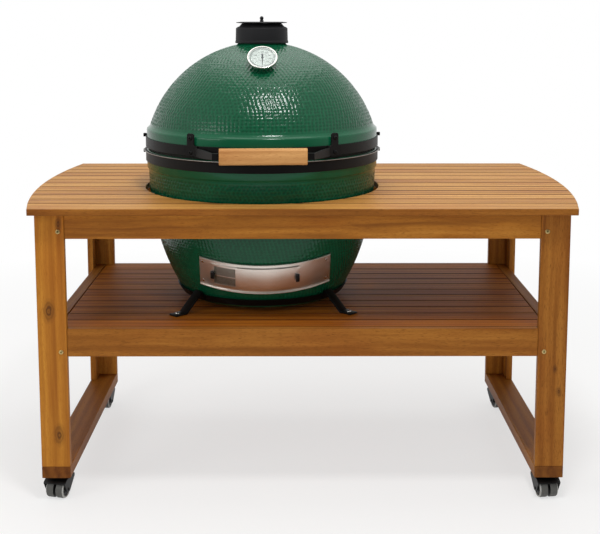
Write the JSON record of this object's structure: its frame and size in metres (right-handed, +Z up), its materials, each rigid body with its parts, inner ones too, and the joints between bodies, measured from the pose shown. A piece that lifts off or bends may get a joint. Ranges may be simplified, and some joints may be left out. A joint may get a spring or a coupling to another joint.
{
  "type": "kamado grill table",
  "caption": "Wooden table on casters with a slatted top and shelf, and a green ceramic kamado grill with a hinged domed lid set in a round hole of the top.",
  "frame": {"origin": "on the floor, under the middle of the table's top", "axes": "+X to the right along the table's length, +Y to the back, +Z up; the front, with the handle and the draft door, faces -Y"},
  "size_m": [1.525, 0.86, 1.288],
  "materials": {
    "top_wood": "oiled hardwood boards, satin, pale brown with a fine straight grain",
    "frame_wood": "oiled hardwood boards, satin, reddish brown with knots",
    "shelf_wood": "oiled hardwood slats, satin, brown",
    "handle_wood": "varnished pale hardwood bar with chamfered edges",
    "glazed_ceramic": "dark green dimpled gloss glaze",
    "fire_clay": "unglazed pale fire clay, matt",
    "black_steel": "black powder coat, satin",
    "cast_iron": "cast iron with a dark grey heat-proof paint, matt",
    "stainless_steel": "brushed stainless steel",
    "felt": "dark woven felt seal",
    "caster_plastic": "moulded black nylon",
    "caster_tread": "grey rubber tread on a moulded wheel",
    "dial_steel": "steel case with a white printed face",
    "needle_plastic": "dark grey lacquered pointer",
    "lens_glass": "clear glass"
  },
  "bodies": {
    "table_and_base": {"top_slat_front": "top_wood", "top_slat_behind_hole": "top_wood", "top_slat_rear": "top_wood", "top_slats_left": "top_wood", "top_slats_right": "top_wood", "leg_front_left": "frame_wood", "leg_front_right": "frame_wood", "leg_rear_left": "frame_wood", "leg_rear_right": "frame_wood", "apron_front": "frame_wood", "apron_rear": "frame_wood", "apron_left": "frame_wood", "apron_right": "frame_wood", "bottom_rail_left": "frame_wood", "bottom_rail_right": "frame_wood", "shelf_rail_front": "frame_wood", "shelf_rail_rear": "frame_wood", "shelf_end_left": "frame_wood", "shelf_end_right": "frame_wood", "shelf_slats": "shelf_wood", "base_shell": "glazed_ceramic", "lower_gasket": "felt", "lower_band": "black_steel", "lower_hinge_bracket": "black_steel", "hinge_pin": "stainless_steel", "firebox": "fire_clay", "charcoal_grate": "cast_iron", "fire_ring": "fire_clay", "cooking_grid": "stainless_steel", "draft_frame": "stainless_steel", "nest": "black_steel", "caster_plate_front_left": "black_steel", "caster_plate_front_right": "black_steel", "caster_plate_rear_left": "black_steel", "caster_plate_rear_right": "black_steel"},
    "lid": {"dome_shell": "glazed_ceramic", "upper_gasket": "felt", "upper_band": "black_steel", "upper_hinge_bracket": "black_steel", "handle_bar": "handle_wood", "handle_bracket_left": "black_steel", "handle_bracket_right": "black_steel", "thermometer_case": "dial_steel", "thermometer_lens": "lens_glass", "cap_body": "cast_iron"},
    "damper": {"damper_disc": "cast_iron", "damper_knob": "cast_iron"},
    "needle": {"thermometer_needle": "needle_plastic"},
    "screen_door": {"draft_screen_door": "stainless_steel"},
    "solid_door": {"draft_solid_door": "stainless_steel"},
    "swivel_front_left": {"caster_fork_front_left": "caster_plastic"},
    "wheel_front_left": {"caster_wheel_front_left": "caster_tread"},
    "swivel_front_right": {"caster_fork_front_right": "caster_plastic"},
    "wheel_front_right": {"caster_wheel_front_right": "caster_tread"},
    "swivel_rear_left": {"caster_fork_rear_left": "caster_plastic"},
    "wheel_rear_left": {"caster_wheel_rear_left": "caster_tread"},
    "swivel_rear_right": {"caster_fork_rear_right": "caster_plastic"},
    "wheel_rear_right": {"caster_wheel_rear_right": "caster_tread"}
  },
  "joints": [
    {"name": "lid_hinge", "type": "hinge", "parent": "table_and_base", "child": "lid", "pos_m": [-0.1302, 0.35153, 0.91475], "axis": [-0.9993, -0.0384, 0], "range_deg": [0, 60]},
    {"name": "damper_turn", "type": "hinge", "parent": "lid", "child": "damper", "pos_m": [-0.116, -0.018, 1.27], "axis": [0, 0, 1], "range_deg": [0, 36]},
    {"name": "needle_turn", "type": "hinge", "parent": "lid", "child": "needle", "pos_m": [-0.10832, -0.21785, 1.1781], "axis": [-0.0267, 0.6941, -0.7193], "range_deg": [0, 300]},
    {"name": "screen_door_slide", "type": "hinge", "parent": "table_and_base", "child": "screen_door", "pos_m": [-0.116, -0.018, 0.583], "axis": [0, 0, 1], "range_deg": [-10, 12]},
    {"name": "solid_door_slide", "type": "hinge", "parent": "table_and_base", "child": "solid_door", "pos_m": [-0.116, -0.018, 0.583], "axis": [0, 0, 1], "range_deg": [-12, 14]},
    {"name": "swivel_front_left", "type": "hinge", "parent": "table_and_base", "child": "swivel_front_left", "pos_m": [-0.6565, -0.348, 0.06], "axis": [0, 0, 1], "continuous": true},
    {"name": "spin_front_left", "type": "hinge", "parent": "swivel_front_left", "child": "wheel_front_left", "pos_m": [-0.66037, -0.36352, 0.02452], "axis": [0.9703, -0.2419, 0], "continuous": true},
    {"name": "swivel_front_right", "type": "hinge", "parent": "table_and_base", "child": "swivel_front_right", "pos_m": [0.6565, -0.348, 0.06], "axis": [0, 0, 1], "continuous": true},
    {"name": "spin_front_right", "type": "hinge", "parent": "swivel_front_right", "child": "wheel_front_right", "pos_m": [0.65873, -0.36384, 0.02452], "axis": [0.9903, 0.1392, 0], "continuous": true},
    {"name": "swivel_rear_left", "type": "hinge", "parent": "table_and_base", "child": "swivel_rear_left", "pos_m": [-0.6565, 0.32, 0.06], "axis": [0, 0, 1], "continuous": true},
    {"name": "spin_rear_left", "type": "hinge", "parent": "swivel_rear_left", "child": "wheel_rear_left", "pos_m": [-0.65789, 0.30406, 0.02452], "axis": [0.9962, -0.0872, 0], "continuous": true},
    {"name": "swivel_rear_right", "type": "hinge", "parent": "table_and_base", "child": "swivel_rear_right", "pos_m": [0.6565, 0.32, 0.06], "axis": [0, 0, 1], "continuous": true},
    {"name": "spin_rear_right", "type": "hinge", "parent": "swivel_rear_right", "child": "wheel_rear_right", "pos_m": [0.65983, 0.30435, 0.02452], "axis": [0.9781, 0.2079, 0], "continuous": true}
  ]
}
